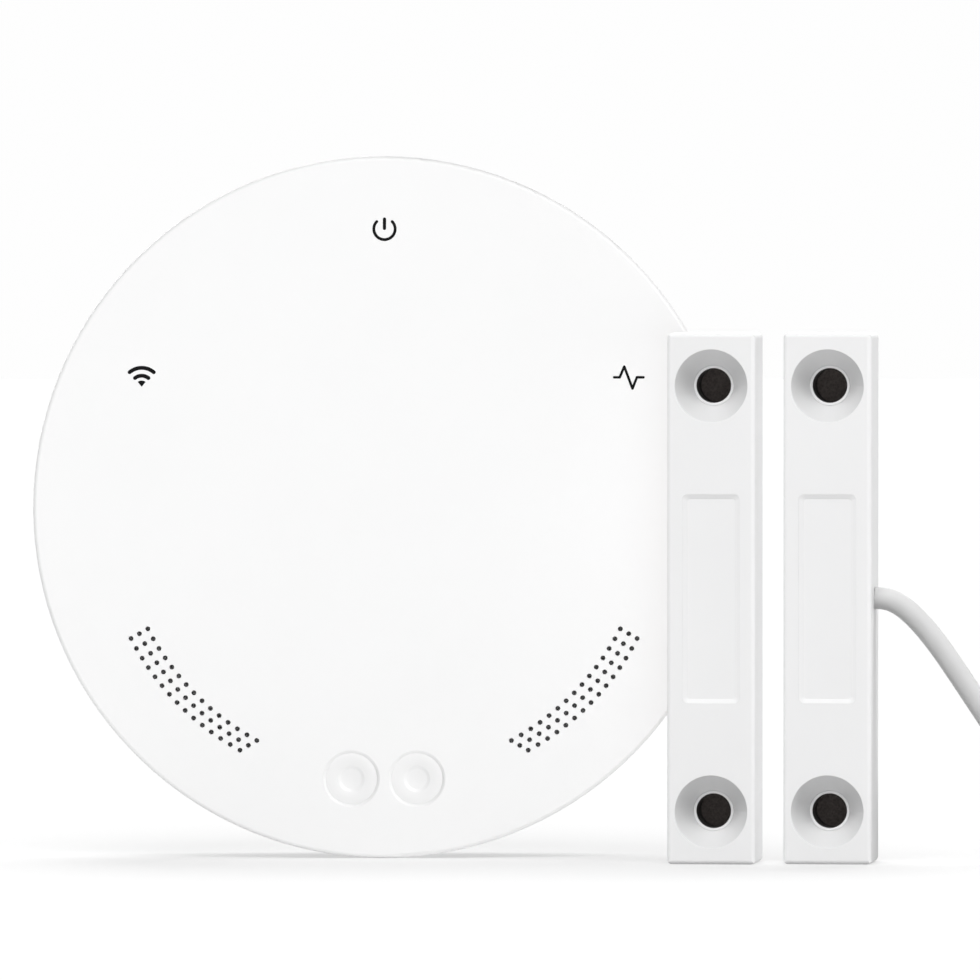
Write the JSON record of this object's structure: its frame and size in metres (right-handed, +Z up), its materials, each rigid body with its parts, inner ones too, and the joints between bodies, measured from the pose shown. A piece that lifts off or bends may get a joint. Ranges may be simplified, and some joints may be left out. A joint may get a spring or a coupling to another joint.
{
  "type": "garage door controller",
  "caption": "Round white wall hub with signs, fine perforations and push buttons, with the slim magnet and switch halves of a wired door contact and its coiled cord.",
  "frame": {"origin": "on the floor under the middle of the set, halfway between the hub's left side and the switch half's right side, and between the fronts of the halves, which stand turned by 6.4 degrees, and the hub's back", "axes": "+X to the right as seen from the front, +Y from the front towards the back that goes on the wall, +Z up"},
  "size_m": [0.244, 0.0768, 0.12],
  "materials": {
    "case_white": "fine satin moulding",
    "contact_white": "satin moulding, a shade greyer than the hub",
    "cord_white": "smooth soft sheath",
    "screw_steel": "plated",
    "board_green": "solder mask",
    "relay_black": "moulded",
    "terminal_green": "moulded",
    "mesh_grey": "woven gauze",
    "lamp_clear": "clear",
    "reed_clear": "clear",
    "pad_foam": "closed-cell foam",
    "tie_grey": "matte",
    "lead_red": "smooth",
    "tip_tinned": "tinned",
    "magnet_metal": "nickel plated"
  },
  "bodies": {
    "hub": {"front_cover": "case_white", "rear_shell": "case_white", "case_screws": "screw_steel", "main_board": "board_green", "board_screws": "screw_steel", "door_relays": "relay_black", "terminal_block": "terminal_green", "terminal_clamps": "screw_steel", "terminal_screws": "screw_steel", "power_socket": "screw_steel", "power_tongue": "relay_black", "radio_board": "board_green", "radio_can": "screw_steel", "sounder": "relay_black", "sound_mesh": "mesh_grey", "status_lamps": "lamp_clear", "light_guides": "lamp_clear", "smoothing_capacitors": "relay_black", "processor_chip": "relay_black", "tact_switches": "relay_black", "switch_case": "contact_white", "switch_base": "contact_white", "switch_pad": "pad_foam", "reed_board": "board_green", "reed_glass": "reed_clear", "reed_leads": "screw_steel", "cable_clamp": "relay_black", "cable_tail": "cord_white", "switch_cord": "cord_white", "cord_coil": "cord_white", "cord_ties": "tie_grey", "cord_leads": "lead_red", "cord_tips": "tip_tinned"},
    "left_button": {"left_button": "case_white", "left_plunger": "relay_black"},
    "right_button": {"right_button": "case_white", "right_plunger": "relay_black"},
    "magnet": {"magnet_case": "contact_white", "magnet_base": "contact_white", "magnet_pad": "pad_foam", "bar_magnet": "magnet_metal"}
  },
  "joints": [
    {"name": "left_button_press", "type": "slide", "parent": "hub", "child": "left_button", "axis": [0, 1, 0], "range_m": [0, 0.0005], "stiffness_N_per_m": 3200, "springref_m": -0.0001},
    {"name": "right_button_press", "type": "slide", "parent": "hub", "child": "right_button", "axis": [0, 1, 0], "range_m": [0, 0.0005], "stiffness_N_per_m": 3200, "springref_m": -0.0001},
    {"name": "magnet_lift", "type": "slide", "parent": "hub", "child": "magnet", "axis": [0, 0, 1], "range_m": [0, 0.1]}
  ]
}
